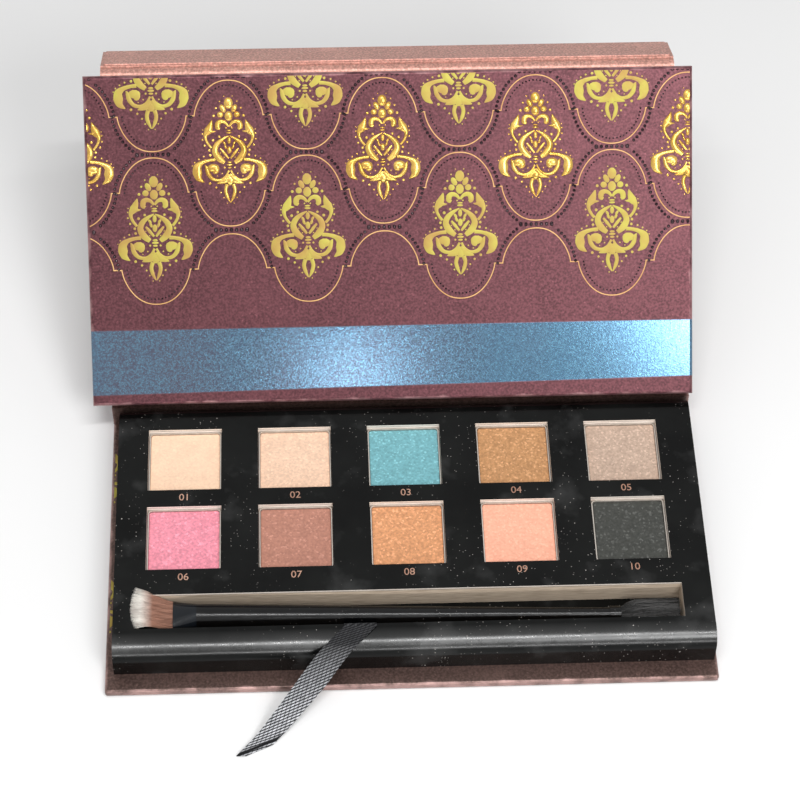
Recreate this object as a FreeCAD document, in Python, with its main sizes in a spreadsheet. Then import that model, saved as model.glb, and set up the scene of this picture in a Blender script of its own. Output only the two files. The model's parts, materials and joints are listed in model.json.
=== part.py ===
import FreeCAD, Part
import math
import os
import re

import Sketcher
from FreeCAD import Placement, Rotation, Vector

# Eyeshadow palette of wrapped boards: a base with a tray of ten pans and a brush, a lid on a
# paper hinge along the back, and a closing flap on a paper hinge along the lid's free edge.
# Millimetres. X runs to the right, Y to the back, Z up. The origin is the middle of the
# base's underside, and the lid stands open.

SIZES = {
    # base board, and the spine that stands on its back edge
    "base_thickness": 2.5,
    "base_rounding": 0.8,
    "base_side_margin": 1.7,
    "spine_thickness": 2.2,
    "spine_below_tray": 2.5,
    "spine_gap": 1.2,
    # tray, set back from the base's front edge
    "tray_height": 10.5,
    "tray_setback": 5.6,
    "tray_side_shift": 0.8,
    "card_thickness": 0.7,
    "card_bend": 3.8,
    "card_fit": 0.15,
    "end_recess": 0.5,
    "carrier_thickness": 2.5,
    # windows of the tray, in five columns and two rows
    "window_width": 21.2,
    "window_depth": 21.2,
    "column_gap": 10.6,
    "row_gap": 5.8,
    "window_side_margin": 9.6,
    "window_back_margin": 8.9,
    # slot for the brush
    "slot_width": 11.0,
    "slot_gap": 8.3,
    "slot_front_margin": 8.2,
    "slot_side_margin": 7.5,
    # pans and powder
    "pan_clearance": 0.2,
    "pan_height": 6.6,
    "pan_wall": 0.3,
    "pan_corner": 1.2,
    "powder_fit": 0.05,
    "powder_below_rim": 0.3,
    "powder_bevel": 0.35,
    # magnets in the tray's side margins and the keepers that meet them
    "magnet_diameter": 5.0,
    "magnet_height": 2.0,
    "magnet_fit": 0.1,
    "magnet_side_distance": 4.4,
    "magnet_front_distance": 26.0,
    "keeper_height": 0.8,
    # lid of two boards glued face to face
    "lid_side_overhang": 2.5,
    "lid_side_shift": 2.4,
    "lid_front_overhang": 1.9,
    "board_thickness": 2.5,
    "panel_thickness": 2.5,
    "lid_rounding": 0.9,
    "lid_gap": 0.9,
    "lid_back_setback": 0.2,
    "lid_hinge_inset": 2.4,
    "lid_tilt": 44.5,
    # paper strip of the lid's hinge
    "strip_thickness": 0.4,
    "strip_bend": 6.0,
    "strip_lap": 14.0,
    # closing flap and its strip
    "flap_side_inset": 5.0,
    "flap_height": 13.5,
    "flap_thickness": 2.0,
    "flap_rounding": 0.7,
    "flap_gap": 1.6,
    "flap_fold": 73.0,
    "lining_thickness": 0.5,
    "lining_inset": 0.9,
    "lining_corner": 0.6,
    # pull ribbon
    "ribbon_width": 8.8,
    "ribbon_thickness": 0.4,
    "ribbon_place": -14.3,
    "ribbon_lap": 1.0,
    "ribbon_tab_reach": 3.0,
    "ribbon_lead": 0.6,
    "ribbon_slope": 33.0,
    "ribbon_bend": 8.0,
    "ribbon_tail": 4.0,
    "ribbon_slant": 0.921,
    "ribbon_floor_gap": 0.05,
    # brush with a wide end and a slim end, which lies a little askew in the slot
    "brush_end_gap": 0.5,
    "brush_rest_gap": 1.7,
    "brush_set_back": 0.1,
    "brush_skew": 0.0135,
    "brush_fall": 0.012,
    "wide_hair_length": 9.4,
    "wide_hair_tip_width": 10.4,
    "wide_hair_tip_height": 2.2,
    "wide_mouth_width": 9.6,
    "wide_mouth_height": 4.2,
    "wide_hair_fit": 0.25,
    "wide_ferrule_length": 6.6,
    "handle_wide_diameter": 7.0,
    "handle_slim_diameter": 3.8,
    "handle_neck_share": 0.19,
    "handle_neck_diameter": 6.4,
    "handle_middle_share": 0.57,
    "handle_middle_diameter": 4.9,
    "slim_ferrule_length": 3.0,
    "slim_ferrule_diameter": 4.6,
    "slim_hair_length": 17.0,
    "slim_hair_width": 6.4,
    "slim_hair_height": 4.2,
}

COLUMNS = 5
ROWS = ("back", "front")

# Places worked out from the sizes.
PLACES = {
    "column_pitch": "window_width + column_gap",
    "row_pitch": "window_depth + row_gap",
    "tray_width": f"{COLUMNS - 1} * column_pitch + window_width + 2 * window_side_margin",
    "tray_depth": "slot_front_margin + slot_width + slot_gap + row_pitch + window_depth + window_back_margin",
    "slot_length": "tray_width - 2 * slot_side_margin",
    "base_width": "tray_width + 2 * base_side_margin",
    "base_depth": "tray_setback + tray_depth + spine_gap + spine_thickness + strip_thickness",
    "lid_width": "base_width + 2 * lid_side_overhang",
    "lid_depth": "base_depth - lid_back_setback + lid_front_overhang",
    "flap_width": "lid_width - 2 * flap_side_inset",
    "tray_top": "base_thickness + tray_height",
    "tray_front": "tray_setback - base_depth / 2",
    "tray_back": "tray_front + tray_depth",
    "carrier_top": "base_thickness + carrier_thickness",
    "insert_top": "tray_top - card_thickness",
    "insert_front": "tray_front + card_thickness + card_fit",
    "insert_depth": "tray_depth - 2 * card_thickness - 2 * card_fit",
    "end_face": "tray_width / 2 - end_recess",
    "insert_side": "end_face - card_thickness",
    "insert_left": "tray_side_shift - insert_side",
    "insert_right": "tray_side_shift + insert_side",
    "back_row": "tray_back - window_back_margin - window_depth / 2",
    "front_row": "back_row - row_pitch",
    "slot_front": "tray_front + slot_front_margin",
    "slot_middle": "slot_front + slot_width / 2",
    "magnet_side": "insert_side - magnet_side_distance",
    "magnet_line": "insert_front + magnet_front_distance",
    "hinge_back": "base_depth / 2 - lid_back_setback - lid_hinge_inset",
    "hinge_height": "tray_top + lid_gap + panel_thickness",
    "lid_edge": "lid_depth - lid_hinge_inset",
    "flap_back": "hinge_back + (lid_edge + flap_gap) * cos(lid_tilt)",
    "flap_rise": "hinge_height + (lid_edge + flap_gap) * sin(lid_tilt)",
    "spine_back": "base_depth / 2 - strip_thickness",
    "strip_radius": "flap_gap / tan(flap_fold / 2)",
    "ribbon_start": "slot_front - ribbon_lap",
    "ribbon_turn": "tray_front - ribbon_lead",
    "ribbon_high": "tray_top + ribbon_thickness",
    "ribbon_low": "ribbon_floor_gap + ribbon_thickness",
    "ribbon_landing": "ribbon_turn - (ribbon_high - ribbon_low) / tan(ribbon_slope)",
    "ribbon_end": "ribbon_landing - ribbon_tail",
    "ribbon_shift": "ribbon_thickness * tan(ribbon_slope / 2)",
    "brush_height": "carrier_top + handle_wide_diameter / 2 + brush_rest_gap",
    "wide_tip": "brush_end_gap - slot_length / 2",
    "wide_mouth": "wide_tip + wide_hair_length",
    "handle_start": "wide_mouth + wide_ferrule_length",
    "slim_tip": "slot_length / 2 - brush_end_gap",
    "slim_mouth": "slim_tip - slim_hair_length",
    "handle_end": "slim_mouth - slim_ferrule_length",
    "handle_length": "handle_end - handle_start",
}

DOC = FreeCAD.newDocument("eyeshadow_palette")
SHEET = DOC.addObject("Spreadsheet::Sheet", "Sizes")
NODES = []


def fill_sheet():
    """Writes each size to a row of the sheet, with its name as the alias."""
    for row, (name, number) in enumerate(SIZES.items(), start=1):
        SHEET.set(f"A{row}", name)
        SHEET.set(f"B{row}", str(number))
        SHEET.setAlias(f"B{row}", name)
    DOC.recompute()


def formula(rule):
    """Turns a rule written in names of sizes and places into an expression on the sheet."""

    def swap(match):
        word = match.group(0)
        if word in PLACES:
            return f"({formula(PLACES[word])})"
        return f"Sizes.{word}" if word in SIZES else word

    return re.sub("[a-z][a-z_]*", swap, rule)


def bind(thing, rules):
    """Binds properties of an object to rules."""
    for name, rule in rules.items():
        thing.setExpression(name, formula(rule))


def as_node(thing, node):
    """Makes an object a sub-part of its own, under the name of its file."""
    thing.Label = node
    NODES.append(thing)
    return thing


def new_body(node):
    return as_node(DOC.addObject("PartDesign::Body", node), node)


def tilt_with_lid(thing):
    """Places an object that is drawn flat, with the hinge line as its X axis, on the open lid."""
    thing.Placement = Placement(Vector(), Rotation(Vector(1, 0, 0), 1))
    bind(thing, {
        "Placement.Base.x": "-lid_side_shift",
        "Placement.Base.y": "hinge_back",
        "Placement.Base.z": "hinge_height",
        "Placement.Rotation.Angle": "lid_tilt * 1 deg",
    })


def tilt_with_flap(thing):
    """Places an object that is drawn flat, with the flap's hinge line as its X axis."""
    thing.Placement = Placement(Vector(), Rotation(Vector(-1, 0, 0), 1))
    bind(thing, {
        "Placement.Base.x": "-lid_side_shift",
        "Placement.Base.y": "flap_back",
        "Placement.Base.z": "flap_rise",
        "Placement.Rotation.Angle": "(flap_fold - lid_tilt) * 1 deg",
    })


def new_sketch(body, plane, lift="0"):
    """Adds a sketch on one of the body's own origin planes, lifted along the plane's normal."""
    sketch = body.newObject("Sketcher::SketchObject", f"{body.Name}_outline")
    origin = next(f for f in body.Origin.OriginFeatures if f.Role == plane)
    sketch.AttachmentSupport = [(origin, "")]
    sketch.MapMode = "FlatFace"
    bind(sketch, {"AttachmentOffset.Base.z": lift})
    return sketch


def dimension(sketch, kind, start, end, rule):
    """Adds a driving dimension between two points of a sketch."""
    index = sketch.addConstraint(Sketcher.Constraint(kind, *start, *end, 1.0))
    bind(sketch, {f"Constraints[{index}]": rule})


def polygon(sketch, points):
    """Draws a closed outline whose corners are dimensioned from the origin."""
    first = sketch.GeometryCount
    count = len(points)
    for index in range(count):
        here = Vector(index, index * index, 0)
        there = Vector((index + 1) % count, ((index + 1) % count) ** 2, 0)
        sketch.addGeometry(Part.LineSegment(here, there), False)
    for index in range(count):
        joined = (first + index, 2, first + (index + 1) % count, 1)
        sketch.addConstraint(Sketcher.Constraint("Coincident", *joined))
    for index, (across, up) in enumerate(points):
        corner = (first + index, 1)
        dimension(sketch, "DistanceX", (-1, 1), corner, across)
        dimension(sketch, "DistanceY", (-1, 1), corner, up)


def rectangle(sketch, left, right, low, high):
    polygon(sketch, [(left, low), (right, low), (right, high), (left, high)])


def circle(sketch, across, up, diameter):
    index = sketch.addGeometry(Part.Circle(Vector(1, 1, 0), Vector(0, 0, 1), 1), False)
    dimension(sketch, "DistanceX", (-1, 1), (index, 3), across)
    dimension(sketch, "DistanceY", (-1, 1), (index, 3), up)
    turn = sketch.addConstraint(Sketcher.Constraint("Diameter", index, 2.0))
    bind(sketch, {f"Constraints[{turn}]": diameter})


def pad(body, sketch, length):
    feature = body.newObject("PartDesign::Pad", f"{body.Name}_pad")
    feature.Profile = sketch
    bind(feature, {"Length": length})
    DOC.recompute()


def pocket(body, sketch, depth):
    """Cuts a sketch down into the body, against the sketch's normal."""
    before = body.Shape.Volume
    feature = body.newObject("PartDesign::Pocket", f"{body.Name}_pocket")
    feature.Profile = sketch
    bind(feature, {"Length": depth})
    DOC.recompute()
    if body.Shape.Volume >= before:
        raise RuntimeError(f"{body.Label}: a pocket cut nothing")


def fillet(body, radius, chosen):
    """Rounds the edges of the body that a test picks."""
    base = body.Tip
    shape = base.Shape
    names = [f"Edge{i}" for i, edge in enumerate(shape.Edges, start=1) if chosen(edge, shape)]
    feature = body.newObject("PartDesign::Fillet", f"{body.Name}_fillet")
    feature.Base = (base, names)
    bind(feature, {"Radius": radius})
    DOC.recompute()


def runs_along(edge, axis):
    """True for a straight edge that is parallel to an axis."""
    ends = [vertex.Point for vertex in edge.Vertexes]
    return len(ends) == 2 and (ends[1] - ends[0]).cross(axis).Length < 1e-6


def upright(edge, shape):
    return runs_along(edge, Vector(0, 0, 1))


def inner_upright(edge, shape):
    return upright(edge, shape) and edge.BoundBox.ZMin > shape.BoundBox.ZMin + 1e-6


def outer_upright(edge, shape):
    return upright(edge, shape) and edge.BoundBox.ZMin < shape.BoundBox.ZMin + 1e-6


def around_top(edge, shape):
    return edge.BoundBox.ZMin > shape.BoundBox.ZMax - 1e-6


def around_foot(edge, shape):
    return edge.BoundBox.ZMax < shape.BoundBox.ZMin + 1e-6


def slab(node, left, right, front, back, low, thickness):
    """A board: a rectangle drawn on the XY plane and padded upward."""
    body = new_body(node)
    sketch = new_sketch(body, "XY_Plane", low)
    rectangle(sketch, left, right, front, back)
    pad(body, sketch, thickness)
    return body


def extruded(node, points, middle, width):
    """A profile drawn on the YZ plane and padded along X, about a middle place."""
    body = new_body(node)
    sketch = new_sketch(body, "YZ_Plane", f"{middle} - {width} / 2")
    polygon(sketch, points)
    pad(body, sketch, width)
    return body


def make_base():
    base = slab("base_board", "-base_width / 2", "base_width / 2", "-base_depth / 2", "base_depth / 2",
                "0", "base_thickness")
    fillet(base, "base_rounding", lambda edge, shape: True)
    slab("spine_board", "-base_width / 2", "base_width / 2", "spine_back - spine_thickness", "spine_back",
         "base_thickness", "tray_height - spine_below_tray")


def draw_windows(sketch):
    """Draws the ten windows of the tray and the slot for its brush."""
    for row in ROWS:
        for column in range(COLUMNS):
            middle = f"{column - COLUMNS // 2} * column_pitch"
            rectangle(sketch, f"{middle} - window_width / 2", f"{middle} + window_width / 2",
                      f"{row}_row - window_depth / 2", f"{row}_row + window_depth / 2")
    rectangle(sketch, "-slot_length / 2", "slot_length / 2", "slot_front", "slot_front + slot_width")


def make_tray():
    slab("tray_carrier", "insert_left", "insert_right", "insert_front", "insert_front + insert_depth",
         "base_thickness", "carrier_thickness")

    insert = slab("tray_insert", "insert_left", "insert_right", "insert_front", "insert_front + insert_depth",
                  "carrier_top", "insert_top - carrier_top")
    along = Vector(1, 0, 0)
    fillet(insert, "card_bend + card_fit", lambda e, s: around_top(e, s) and runs_along(e, along))
    sketch = new_sketch(insert, "XY_Plane", "insert_top")
    draw_windows(sketch)
    pocket(insert, sketch, "insert_top - carrier_top")
    sketch = new_sketch(insert, "XY_Plane", "insert_top")
    for side in ("-magnet_side", "magnet_side"):
        circle(sketch, side, "magnet_line", "magnet_diameter + 2 * magnet_fit")
    pocket(insert, sketch, "magnet_height")

    make_cover()
    for node, left, right in (("tray_end_left", "tray_side_shift - end_face", "insert_left"),
                              ("tray_end_right", "insert_right", "tray_side_shift + end_face")):
        end = slab(node, left, right, "insert_front", "insert_front + insert_depth",
                   "base_thickness", "insert_top - base_thickness")
        fillet(end, "card_bend + card_fit", lambda e, s: around_top(e, s) and runs_along(e, along))
    discs("tray_magnets", "magnet_line", "insert_top - magnet_height", "magnet_height")


def make_cover():
    """Folded card over the tray: front wall, top with its windows, and back wall."""
    cover = extruded("tray_cover", [
        ("tray_front", "base_thickness"),
        ("tray_front + card_thickness", "base_thickness"),
        ("tray_front + card_thickness", "insert_top"),
        ("tray_back - card_thickness", "insert_top"),
        ("tray_back - card_thickness", "base_thickness"),
        ("tray_back", "base_thickness"),
        ("tray_back", "tray_top"),
        ("tray_front", "tray_top"),
    ], "tray_side_shift", "tray_width")
    along = Vector(1, 0, 0)
    fillet(cover, "card_bend + card_thickness", lambda e, s: around_top(e, s) and runs_along(e, along))
    roof = cover.Shape.BoundBox.ZMax - SHEET.get("card_thickness")

    def under_roof(e, s):
        return runs_along(e, along) and abs(e.BoundBox.ZMax - roof) + abs(e.BoundBox.ZMin - roof) < 1e-6

    fillet(cover, "card_bend", under_roof)
    sketch = new_sketch(cover, "XY_Plane", "tray_top")
    draw_windows(sketch)
    pocket(cover, sketch, "card_thickness")


def discs(node, line, low, height, shift="0"):
    """A pair of small discs, one in each side margin."""
    pair = []
    for side in ("-magnet_side", "magnet_side"):
        disc = DOC.addObject("Part::Cylinder", f"{node}_disc")
        bind(disc, {
            "Radius": "magnet_diameter / 2",
            "Height": height,
            "Placement.Base.x": f"{side} + {shift}",
            "Placement.Base.y": line,
            "Placement.Base.z": low,
        })
        pair.append(disc)
    group = as_node(DOC.addObject("Part::Compound", node), node)
    group.Links = pair
    return group


def make_pans():
    """A tin and its pressed powder in every window, numbered from the left in each row."""
    half_width = "(window_width / 2 - pan_clearance)"
    half_depth = "(window_depth / 2 - pan_clearance)"
    inner_width = f"({half_width} - pan_wall)"
    inner_depth = f"({half_depth} - pan_wall)"
    cake_width = f"({inner_width} - powder_fit)"
    cake_depth = f"({inner_depth} - powder_fit)"
    for row in ROWS:
        for column in range(COLUMNS):
            spot = {
                "Placement.Base.x": f"{column - COLUMNS // 2} * column_pitch",
                "Placement.Base.y": f"{row}_row",
            }
            tin = slab(f"pan_{row}_{column + 1}", f"-{half_width}", half_width, f"-{half_depth}", half_depth,
                       "carrier_top", "pan_height")
            sketch = new_sketch(tin, "XY_Plane", "carrier_top + pan_height")
            rectangle(sketch, f"-{inner_width}", inner_width, f"-{inner_depth}", inner_depth)
            pocket(tin, sketch, "pan_height - pan_wall")
            fillet(tin, "pan_corner - pan_wall", inner_upright)
            fillet(tin, "pan_corner", outer_upright)
            bind(tin, spot)

            cake = slab(f"powder_{row}_{column + 1}", f"-{cake_width}", cake_width,
                        f"-{cake_depth}", cake_depth,
                        "carrier_top + pan_wall", "pan_height - pan_wall - powder_below_rim")
            fillet(cake, "pan_corner - pan_wall - powder_fit", upright)
            fillet(cake, "powder_bevel", around_top)
            bind(cake, spot)


def make_lid():
    board = slab("lid_board", "-lid_width / 2", "lid_width / 2", "-lid_hinge_inset", "lid_edge",
                 "-board_thickness", "board_thickness")
    fillet(board, "lid_rounding", around_foot)
    tilt_with_lid(board)

    panel = slab("lid_panel", "-lid_width / 2", "lid_width / 2", "-lid_hinge_inset", "lid_edge",
                 "0", "panel_thickness")
    fillet(panel, "lid_rounding", around_top)
    sketch = new_sketch(panel, "XY_Plane", "keeper_height")
    for side in ("-magnet_side", "magnet_side"):
        circle(sketch, f"{side} + lid_side_shift", "hinge_back - magnet_line",
               "magnet_diameter + 2 * magnet_fit")
    pocket(panel, sketch, "keeper_height")
    tilt_with_lid(panel)

    tilt_with_lid(discs("lid_keepers", "hinge_back - magnet_line", "0", "keeper_height", "lid_side_shift"))


def make_lid_strip():
    """Paper strip glued to the spine's back and to the lid's outer face, bent between them."""

    def corner(face, depth):
        along = f"(({face} - hinge_back - {depth} * sin(lid_tilt)) / cos(lid_tilt))"
        return face, f"hinge_height + {along} * sin(lid_tilt) - {depth} * cos(lid_tilt)"

    def tip(depth):
        return (f"hinge_back + strip_lap * cos(lid_tilt) + {depth} * sin(lid_tilt)",
                f"hinge_height + strip_lap * sin(lid_tilt) - {depth} * cos(lid_tilt)")

    near, far = "board_thickness", "(board_thickness + strip_thickness)"
    strip = extruded("lid_hinge_strip", [
        ("spine_back", "base_thickness"),
        ("base_depth / 2", "base_thickness"),
        corner("base_depth / 2", far),
        tip(far),
        tip(near),
        corner("spine_back", near),
    ], "0", "base_width")
    along = Vector(1, 0, 0)
    bends = sorted((e.BoundBox.YMin, e.BoundBox.ZMin) for e in strip.Shape.Edges if runs_along(e, along))[1:4]
    spots = [spot for spot in bends if spot[1] > SHEET.get("base_thickness") + 1e-6]

    def at(spot):
        def lies_at(e, s):
            off = abs(e.BoundBox.YMin - spot[0]) + abs(e.BoundBox.ZMin - spot[1])
            return runs_along(e, along) and off < 1e-5
        return lies_at

    fillet(strip, "strip_bend + strip_thickness", at(spots[0]))
    fillet(strip, "strip_bend", at(spots[1]))


def make_flap():
    board = slab("flap_board", "-flap_width / 2", "flap_width / 2", "flap_gap", "flap_gap + flap_height",
                 "-(flap_thickness + lining_thickness) / 2", "flap_thickness")
    fillet(board, "flap_rounding", around_foot)
    tilt_with_flap(board)

    half = "(flap_width / 2 - lining_inset)"
    lining = slab("flap_lining", f"-{half}", half,
                  "flap_gap + lining_inset / 2", "flap_gap + flap_height - lining_inset",
                  "(flap_thickness - lining_thickness) / 2", "lining_thickness")
    fillet(lining, "lining_corner", upright)
    tilt_with_flap(lining)

    strip = new_body("flap_hinge_strip")
    sketch = new_sketch(strip, "XZ_Plane")
    rectangle(sketch, "-flap_width / 2", "flap_width / 2",
              "strip_radius - strip_thickness / 2", "strip_radius + strip_thickness / 2")
    turn = strip.newObject("PartDesign::Revolution", "flap_hinge_strip_turn")
    turn.Profile = sketch
    turn.ReferenceAxis = (sketch, ["H_Axis"])
    turn.Reversed = True
    bind(turn, {"Angle": "flap_fold"})
    tilt_with_lid(strip)
    bind(strip, {
        "Placement.Base.y": "hinge_back + lid_edge * cos(lid_tilt) + strip_radius * sin(lid_tilt)",
        "Placement.Base.z": "hinge_height + lid_edge * sin(lid_tilt) - strip_radius * cos(lid_tilt)",
    })


def make_ribbon():
    """Ribbon glued in the slot under the brush, over the tray's front and down to the table."""
    extruded("ribbon_tab", [
        ("slot_front + ribbon_tab_reach", "carrier_top"),
        ("slot_front", "carrier_top"),
        ("slot_front", "tray_top"),
        ("ribbon_start", "tray_top"),
        ("ribbon_start", "ribbon_high"),
        ("slot_front + ribbon_thickness", "ribbon_high"),
        ("slot_front + ribbon_thickness", "carrier_top + ribbon_thickness"),
        ("slot_front + ribbon_tab_reach", "carrier_top + ribbon_thickness"),
    ], "ribbon_place", "ribbon_width")

    drape = extruded("ribbon_drape", [
        ("ribbon_start", "ribbon_high"),
        ("ribbon_turn", "ribbon_high"),
        ("ribbon_landing", "ribbon_low"),
        ("ribbon_end", "ribbon_low"),
        ("ribbon_end", "ribbon_floor_gap"),
        ("ribbon_landing + ribbon_shift", "ribbon_floor_gap"),
        ("ribbon_turn + ribbon_shift", "tray_top"),
        ("ribbon_start", "tray_top"),
    ], "ribbon_place", "2 * base_width")
    NODES.remove(drape)
    along = Vector(1, 0, 0)
    middle = [e for e in drape.Shape.Edges if runs_along(e, along)]
    inner = sorted(middle, key=lambda e: e.BoundBox.YMin)[2:6]
    heights = [e.BoundBox.ZMin for e in inner]

    def level(rank):
        spot = sorted(heights)[rank]
        front, back = drape.Shape.BoundBox.YMin, drape.Shape.BoundBox.YMax
        return lambda e, s: (runs_along(e, along) and abs(e.BoundBox.ZMin - spot) < 1e-6
                             and front + 1e-6 < e.BoundBox.YMin < back - 1e-6)

    outside = "ribbon_bend + ribbon_thickness"
    rules = [outside, "ribbon_bend", "ribbon_bend", outside]
    picks = [level(rank) for rank in range(4)]
    for rule, pick in zip(rules, picks):
        fillet(drape, rule, pick)

    track = new_body("ribbon_track")
    NODES.remove(track)
    sketch = new_sketch(track, "XY_Plane")
    drift = "ribbon_place - ribbon_slant * (ribbon_start - ribbon_end)"
    polygon(sketch, [
        ("ribbon_place - ribbon_width / 2", "ribbon_start"),
        ("ribbon_place + ribbon_width / 2", "ribbon_start"),
        (f"{drift} + ribbon_width / 2", "ribbon_end"),
        (f"{drift} - ribbon_width / 2", "ribbon_end"),
    ])
    pad(track, sketch, "2 * tray_top")

    ribbon = as_node(DOC.addObject("Part::Common", "pull_ribbon"), "pull_ribbon")
    ribbon.Base = drape
    ribbon.Tool = track
    DOC.recompute()
    compare_ribbon(ribbon.Shape, drape.Shape)


def compare_ribbon(shape, drape):
    """Sets the ribbon's volume against its section times its length, and prints its bends."""
    thickness = SHEET.get("ribbon_thickness")
    radius = SHEET.get("ribbon_bend") + thickness / 2
    slope = math.radians(SHEET.get("ribbon_slope"))
    corner = 2 * radius * math.tan(slope / 2)
    drop = drape.BoundBox.ZLength - thickness
    runs = drape.BoundBox.YLength - drop / math.tan(slope) + drop / math.sin(slope)
    length = runs - 2 * corner + 2 * radius * slope
    print(f"ribbon: {length:.1f} mm along its profile, bends of {radius:.1f} mm")
    if abs(shape.Volume / (length * thickness * SHEET.get("ribbon_width")) - 1) > 0.03:
        raise RuntimeError("pull_ribbon: its volume doesn't match its length")


def section(place, width, height):
    """An ellipse across the brush, the wider way along Y."""
    ring = DOC.addObject("Part::Ellipse", "section")
    ring.Placement = Placement(Vector(), Rotation(Vector(1, 1, 1), 120))
    bind(ring, {
        "MajorRadius": f"({width}) / 2",
        "MinorRadius": f"({height}) / 2",
        "Placement.Base.x": place,
        "Placement.Base.y": f"slot_middle + brush_set_back - brush_skew * ({place} - wide_tip)",
        "Placement.Base.z": f"brush_height - brush_fall * ({place} - wide_tip)",
    })
    return ring


def lofted(node, rings):
    """A smooth solid through sections along the brush."""
    solid = as_node(DOC.addObject("Part::Loft", node), node)
    solid.Sections = [section(*ring) for ring in rings]
    solid.Solid = True


def make_brush():
    lofted("brush_hair_wide", [
        ("wide_tip", "wide_hair_tip_width", "wide_hair_tip_height"),
        ("(wide_tip + wide_mouth) / 2", "wide_mouth_width", "wide_mouth_height - wide_hair_fit"),
        ("wide_mouth", "wide_mouth_width - 2 * wide_hair_fit", "wide_mouth_height - 2 * wide_hair_fit"),
    ])
    lofted("brush_ferrule_wide", [
        ("wide_mouth", "wide_mouth_width", "wide_mouth_height"),
        ("(wide_mouth + handle_start) / 2", "(wide_mouth_width + handle_wide_diameter) / 2",
         "(wide_mouth_height + handle_wide_diameter) / 2"),
        ("handle_start", "handle_wide_diameter", "handle_wide_diameter"),
    ])
    lofted("brush_handle", [
        ("handle_start", "handle_wide_diameter", "handle_wide_diameter"),
        ("handle_start + handle_neck_share * handle_length",
         "handle_neck_diameter", "handle_neck_diameter"),
        ("handle_start + handle_middle_share * handle_length",
         "handle_middle_diameter", "handle_middle_diameter"),
        ("handle_end", "handle_slim_diameter", "handle_slim_diameter"),
    ])
    lofted("brush_ferrule_slim", [
        ("handle_end", "slim_ferrule_diameter", "slim_ferrule_diameter"),
        ("slim_mouth", "slim_ferrule_diameter", "slim_ferrule_diameter"),
    ])
    lofted("brush_hair_slim", [
        ("slim_mouth", "slim_ferrule_diameter", "slim_ferrule_diameter"),
        ("(slim_mouth + slim_tip) / 2", "slim_hair_width", "slim_hair_height"),
        ("slim_tip", "slim_hair_width", "slim_hair_height"),
    ])


def check():
    """Stops if an object failed or a sub-part has no valid solid."""
    for thing in DOC.Objects:
        if {"Invalid", "Error"} & set(thing.State):
            raise RuntimeError(f"{thing.Label} failed: {thing.State}")
    for node in NODES:
        shape = node.Shape
        if shape.isNull() or not shape.isValid() or not shape.Solids:
            raise RuntimeError(f"{node.Label} has no valid solid")


def write():
    os.makedirs("parts", exist_ok=True)
    for node in NODES:
        node.Shape.exportStep(f"parts/{node.Label}.step")


fill_sheet()
make_base()
make_tray()
make_pans()
make_lid()
make_lid_strip()
make_flap()
make_ribbon()
make_brush()
DOC.recompute()
check()
write()
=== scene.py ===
import json
import math
import random

import bmesh
import bpy
from mathutils import Matrix, Vector


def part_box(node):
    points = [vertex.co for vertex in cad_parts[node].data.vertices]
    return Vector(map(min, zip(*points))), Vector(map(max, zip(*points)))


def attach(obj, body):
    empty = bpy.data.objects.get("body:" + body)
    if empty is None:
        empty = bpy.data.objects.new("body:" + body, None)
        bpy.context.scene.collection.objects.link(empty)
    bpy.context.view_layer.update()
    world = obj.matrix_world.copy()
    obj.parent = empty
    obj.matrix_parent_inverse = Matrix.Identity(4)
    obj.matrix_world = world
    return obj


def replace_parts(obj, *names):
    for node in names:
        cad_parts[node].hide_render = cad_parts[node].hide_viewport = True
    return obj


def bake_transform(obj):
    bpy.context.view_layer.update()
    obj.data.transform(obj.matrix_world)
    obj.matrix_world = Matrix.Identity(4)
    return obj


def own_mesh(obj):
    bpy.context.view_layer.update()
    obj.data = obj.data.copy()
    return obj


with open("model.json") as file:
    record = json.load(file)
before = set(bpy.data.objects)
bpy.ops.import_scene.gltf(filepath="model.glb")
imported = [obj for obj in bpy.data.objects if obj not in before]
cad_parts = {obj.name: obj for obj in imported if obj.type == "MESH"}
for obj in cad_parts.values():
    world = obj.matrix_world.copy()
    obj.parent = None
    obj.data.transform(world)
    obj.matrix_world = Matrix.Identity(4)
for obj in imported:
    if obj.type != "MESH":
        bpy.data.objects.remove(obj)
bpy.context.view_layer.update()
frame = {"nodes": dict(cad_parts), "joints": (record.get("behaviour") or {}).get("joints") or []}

MM = 0.001
NODES = frame["nodes"]
JOINTS = {joint["name"]: joint for joint in frame["joints"]}
SCENE = bpy.context.scene


# Frames of the lid and the flap

LID_HINGE = Vector(JOINTS["lid_hinge"]["pos_m"])
FLAP_HINGE = Vector(JOINTS["flap_hinge"]["pos_m"])
LID_TILT = math.atan2(FLAP_HINGE.z - LID_HINGE.z, FLAP_HINGE.y - LID_HINGE.y)
FLAP_FOLD = math.radians(73)


def tilted_frame(node, hinge, angle):
    """A frame at a hinge: across the object, along the board, and out of its inner face."""
    low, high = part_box(node)
    origin = Vector(((low.x + high.x) / 2, hinge.y, hinge.z))
    return Matrix.Translation(origin) @ Matrix.Rotation(angle, 4, "X")


def extent(node, matrix):
    """The lowest and highest corner of a CAD node in a frame of its own."""
    inverse = matrix.inverted()
    points = [inverse @ vertex.co for vertex in NODES[node].data.vertices]
    low = Vector([min(p[i] for p in points) for i in range(3)])
    high = Vector([max(p[i] for p in points) for i in range(3)])
    return low, high


LID = tilted_frame("lid_panel", LID_HINGE, LID_TILT)
LID_BACK = LID @ Matrix.Rotation(math.pi, 4, "Y")
FLAP = tilted_frame("flap_board", FLAP_HINGE, LID_TILT - FLAP_FOLD)
TRAY_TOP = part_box("tray_cover")[1].z


# Ways to build materials

def feed(look, socket, value):
    """Links a socket to a node's output, or sets it to a plain value."""
    if isinstance(value, bpy.types.NodeSocket):
        look.node_tree.links.new(value, socket)
    elif socket.type == "RGBA":
        socket.default_value = (*value, 1)
    else:
        socket.default_value = value


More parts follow.
